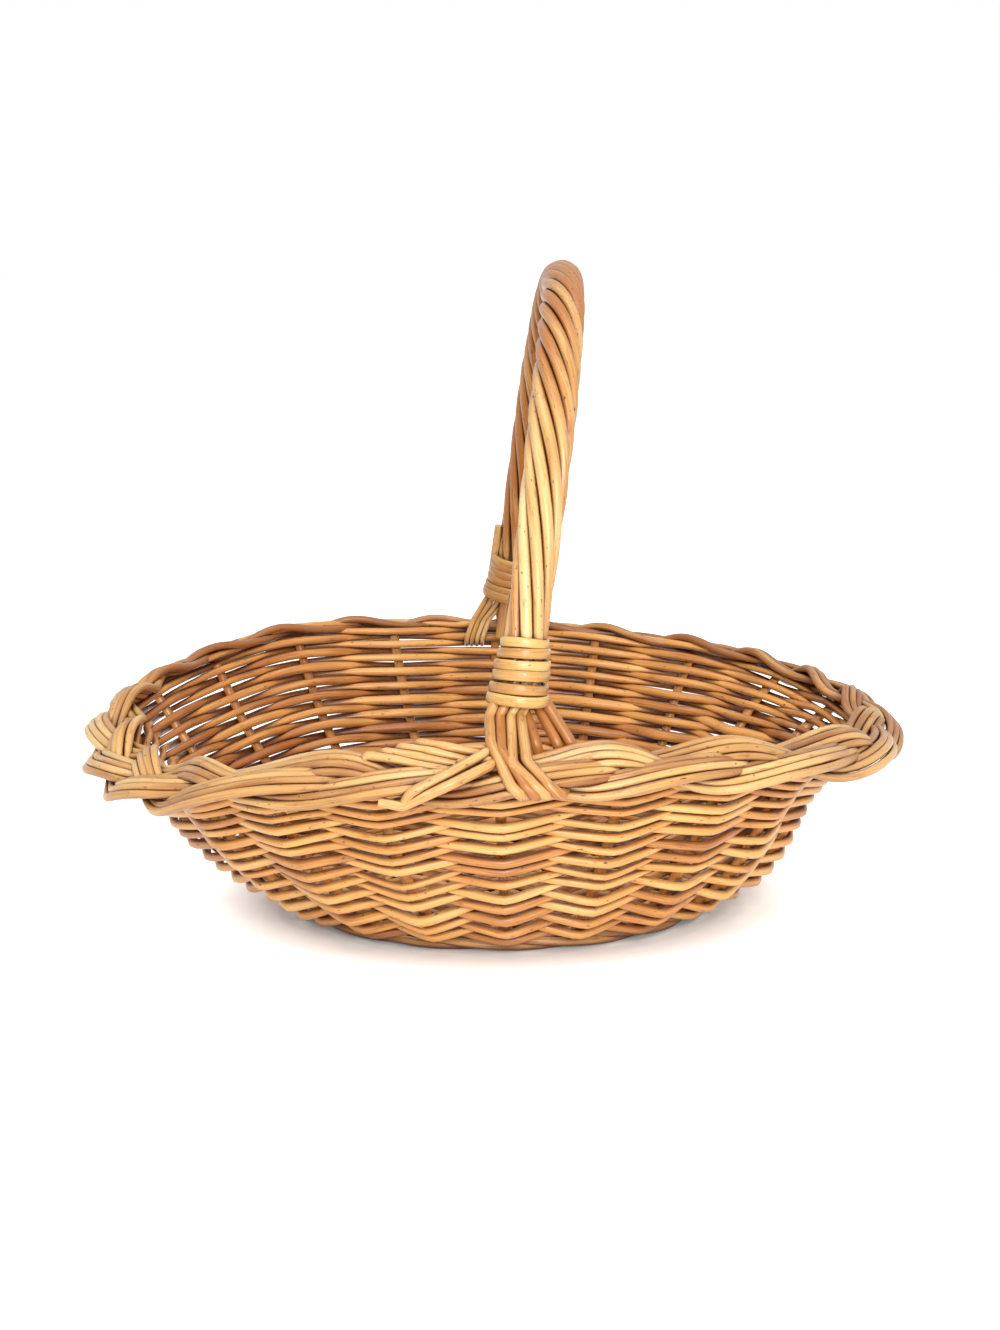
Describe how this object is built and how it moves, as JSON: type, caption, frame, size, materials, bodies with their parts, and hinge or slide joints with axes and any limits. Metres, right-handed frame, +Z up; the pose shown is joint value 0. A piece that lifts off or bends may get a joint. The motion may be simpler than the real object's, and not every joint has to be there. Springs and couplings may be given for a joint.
{
  "type": "gathering basket",
  "caption": "Shallow oval willow gathering basket: flared woven wall on upright stakes, plaited border and a fixed roped handle across the short axis.",
  "frame": {"origin": "On the floor under the middle of the basket's outline", "axes": "+X along the long axis of the oval, the side that the handle leans to; +Y along the short axis, away from the pictured side; +Z up"},
  "size_m": [0.4186, 0.3798, 0.3316],
  "materials": {
    "stake_willow": "satin varnish",
    "weaver_willow": "satin varnish",
    "border_willow": "satin varnish",
    "handle_willow": "satin varnish",
    "binding_willow": "satin varnish",
    "base_willow": "satin varnish"
  },
  "bodies": {
    "root": {"stake_01": "stake_willow", "stake_02": "stake_willow", "stake_03": "stake_willow", "stake_04": "stake_willow", "stake_05": "stake_willow", "stake_06": "stake_willow", "stake_07": "stake_willow", "stake_08": "stake_willow", "stake_09": "stake_willow", "stake_10": "stake_willow", "stake_11": "stake_willow", "stake_12": "stake_willow", "stake_13": "stake_willow", "stake_14": "stake_willow", "stake_15": "stake_willow", "stake_16": "stake_willow", "stake_17": "stake_willow", "stake_18": "stake_willow", "stake_19": "stake_willow", "stake_20": "stake_willow", "wall_weaver_a1": "weaver_willow", "wall_weaver_a2": "weaver_willow", "wall_weaver_a3": "weaver_willow", "wall_weaver_a4": "weaver_willow", "wall_weaver_b1": "weaver_willow", "wall_weaver_b2": "weaver_willow", "wall_weaver_b3": "weaver_willow", "wall_weaver_b4": "weaver_willow", "base_weaver_1": "weaver_willow", "base_weaver_2": "weaver_willow", "border_strand_1": "border_willow", "border_strand_2": "border_willow", "border_strand_3": "border_willow", "handle_rod_1": "handle_willow", "handle_rod_2": "handle_willow", "handle_rod_3": "handle_willow", "handle_rod_4": "handle_willow", "handle_rod_5": "handle_willow", "handle_rod_6": "handle_willow", "handle_rod_7": "handle_willow", "handle_rod_8": "handle_willow", "handle_core": "handle_willow", "handle_binding_near": "binding_willow", "handle_binding_far": "binding_willow", "base_stick_long_1": "base_willow", "base_stick_long_2": "base_willow", "base_stick_long_3": "base_willow", "base_stick_cross_1": "base_willow", "base_stick_cross_2": "base_willow", "base_stick_cross_3": "base_willow", "base_stick_cross_4": "base_willow", "base_stick_cross_5": "base_willow", "foot_wale": "base_willow"}
  },
  "joints": []
}
